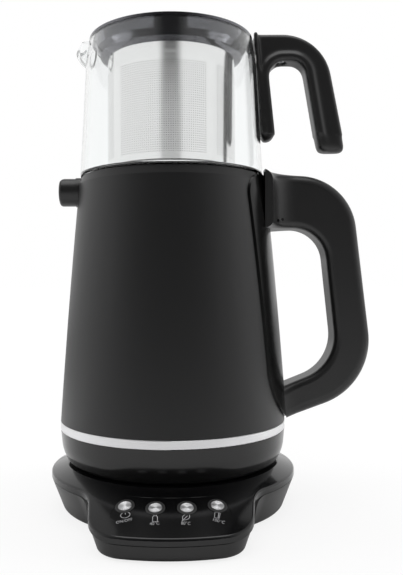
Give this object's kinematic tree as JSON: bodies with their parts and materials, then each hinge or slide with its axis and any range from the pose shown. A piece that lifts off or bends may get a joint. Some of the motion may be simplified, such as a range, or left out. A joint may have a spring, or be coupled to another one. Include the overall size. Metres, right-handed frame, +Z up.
{
  "type": "automatic tea maker",
  "caption": "Electric tea maker: cordless kettle on a powered base with push buttons, and a glass teapot with a steel infuser and a lid stacked on the kettle.",
  "frame": {"origin": "point on the common axis of base and kettle, in the plane that the feet stand on", "axes": "+Z up along the common axis, -Y towards the person at the buttons, +X towards the two handles"},
  "size_m": [0.2296, 0.2059, 0.3503],
  "materials": {
    "gloss_black": "high gloss",
    "charcoal_plastic": "fine satin",
    "charcoal_paint": "matte lacquer",
    "silver_trim": "satin",
    "steel": "brushed",
    "polished_steel": "polished",
    "button_silver": "turned rings",
    "dark_ring": "gloss",
    "glass": "clear",
    "rubber": "matte",
    "silicone": "matte",
    "board_green": "printed circuit",
    "contact_brass": "bright",
    "zinc_screw": "zinc plated",
    "clear_pad": "clear adhesive"
  },
  "bodies": {
    "base": {"base_cover": "gloss_black", "base_housing": "charcoal_plastic", "base_feet": "rubber", "base_screws": "zinc_screw", "cord_gland": "rubber", "button_bezels": "dark_ring", "control_board": "board_green", "button_switches": "charcoal_plastic", "board_screws": "zinc_screw", "power_board": "board_green", "base_connector": "charcoal_plastic", "connector_contacts": "contact_brass"},
    "collar": {"connector_collar": "charcoal_plastic"},
    "button_on_off": {"button_on_off": "button_silver"},
    "button_40": {"button_40": "button_silver"},
    "button_80": {"button_80": "button_silver"},
    "button_100": {"button_100": "button_silver"},
    "kettle": {"kettle_shell": "charcoal_paint", "kettle_liner": "steel", "kettle_liner_neck": "steel", "mouth_ring": "charcoal_plastic", "mouth_seal": "silicone", "kettle_spout": "gloss_black", "spout_seal": "silicone", "trim_ring": "silver_trim", "kettle_skirt": "charcoal_plastic", "kettle_foot": "charcoal_plastic", "foot_screws": "zinc_screw", "heater_plate": "steel", "heating_element": "steel", "kettle_coupler": "charcoal_plastic", "coupler_contacts": "contact_brass", "temperature_sensor": "steel", "kettle_handle": "gloss_black", "handle_spine": "charcoal_plastic", "handle_panel": "gloss_black", "handle_screws": "zinc_screw"},
    "teapot": {"glass_pot": "glass", "bond_pad": "clear_pad", "handle_bracket": "steel", "teapot_handle": "gloss_black", "teapot_handle_screw": "zinc_screw"},
    "infuser": {"infuser_funnel": "gloss_black", "infuser_basket": "polished_steel", "infuser_base": "polished_steel"},
    "lid": {"lid_cover": "gloss_black", "lid_knob": "gloss_black", "lid_screw": "zinc_screw"}
  },
  "joints": [
    {"name": "collar_turn", "type": "hinge", "parent": "base", "child": "collar", "pos_m": [0, 0, 0.033], "axis": [0, 0, 1], "continuous": true},
    {"name": "kettle_lift", "type": "slide", "parent": "collar", "child": "kettle", "axis": [0, 0, 1], "range_m": [0, 0.06]},
    {"name": "teapot_lift", "type": "slide", "parent": "kettle", "child": "teapot", "axis": [0, 0, 1], "range_m": [0, 0.06]},
    {"name": "infuser_lift", "type": "slide", "parent": "teapot", "child": "infuser", "axis": [0, 0, 1], "range_m": [0, 0.1]},
    {"name": "lid_lift", "type": "slide", "parent": "infuser", "child": "lid", "axis": [0, 0, 1], "range_m": [0, 0.04]},
    {"name": "button_on_off_press", "type": "slide", "parent": "base", "child": "button_on_off", "axis": [0.1111, 0.3578, -0.9272], "range_m": [0, 0.0005], "stiffness_N_per_m": 400, "springref_m": -0.002},
    {"name": "button_40_press", "type": "slide", "parent": "base", "child": "button_40", "axis": [0.0375, 0.3727, -0.9272], "range_m": [0, 0.0005], "stiffness_N_per_m": 400, "springref_m": -0.002},
    {"name": "button_80_press", "type": "slide", "parent": "base", "child": "button_80", "axis": [-0.0375, 0.3727, -0.9272], "range_m": [0, 0.0005], "stiffness_N_per_m": 400, "springref_m": -0.002},
    {"name": "button_100_press", "type": "slide", "parent": "base", "child": "button_100", "axis": [-0.1111, 0.3578, -0.9272], "range_m": [0, 0.0005], "stiffness_N_per_m": 400, "springref_m": -0.002}
  ]
}
